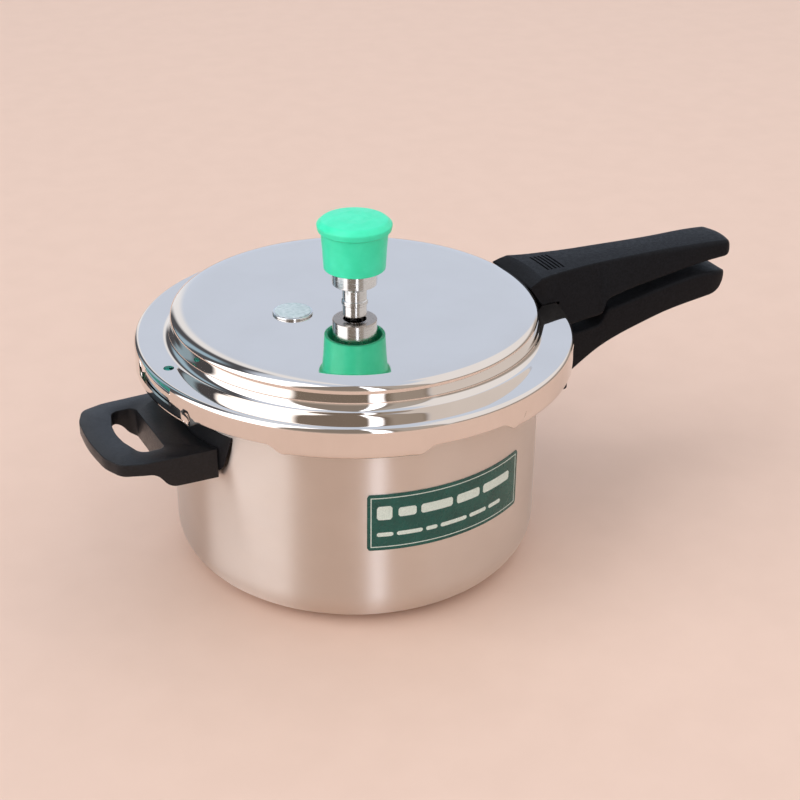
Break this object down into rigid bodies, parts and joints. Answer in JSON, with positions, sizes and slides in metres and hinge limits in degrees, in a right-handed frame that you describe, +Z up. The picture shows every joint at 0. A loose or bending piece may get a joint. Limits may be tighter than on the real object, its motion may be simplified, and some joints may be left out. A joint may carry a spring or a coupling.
{
  "type": "stovetop pressure cooker",
  "caption": "Stovetop pressure cooker with a bayonet outer lid, paired long handles, a helper handle, a lift-off weight on the vent pipe and a round safety valve.",
  "frame": {"origin": "centre of the pot's flat base, on the surface it stands on", "axes": "+Z up along the pot's axis; +X along the two long handles; the helper handle points along -X"},
  "size_m": [0.3743, 0.224, 0.1821],
  "materials": {
    "polished_steel": "mirror polished",
    "turned_steel": "turned, polished",
    "plain_steel": "zinc plated",
    "black_phenolic": "satin moulded",
    "green_cap": "satin moulded",
    "green_label": "printed film",
    "teal_gasket": "matt",
    "black_rubber": "matt",
    "fusible_alloy": "cast",
    "printed_dial": "printed"
  },
  "bodies": {
    "pot": {"pot_body": "polished_steel", "pot_label": "green_label", "pot_handle": "black_phenolic", "pot_handle_bracket": "plain_steel", "pot_handle_screws": "plain_steel", "helper_handle": "black_phenolic", "helper_collar": "black_phenolic", "helper_bracket": "plain_steel", "helper_handle_screw": "plain_steel"},
    "lid": {"lid_shell": "polished_steel", "gasket": "teal_gasket", "lid_handle": "black_phenolic", "lid_handle_bracket": "plain_steel", "lid_handle_screws": "plain_steel", "vent_pipe": "turned_steel", "vent_washer": "black_rubber", "vent_nut": "turned_steel", "safety_valve": "turned_steel", "safety_valve_core": "fusible_alloy", "safety_valve_dial": "printed_dial", "safety_valve_washer": "black_rubber", "safety_valve_nut": "turned_steel"},
    "weight": {"weight_body": "turned_steel", "weight_needle": "turned_steel", "weight_cap": "green_cap"}
  },
  "joints": [
    {"name": "lid_turn", "type": "hinge", "parent": "pot", "child": "lid", "pos_m": [0, 0, 0.118], "axis": [0, 0, 1], "range_deg": [0, 30]},
    {"name": "weight_lift", "type": "slide", "parent": "lid", "child": "weight", "axis": [0, 0, 1], "range_m": [0, 0.03]}
  ]
}
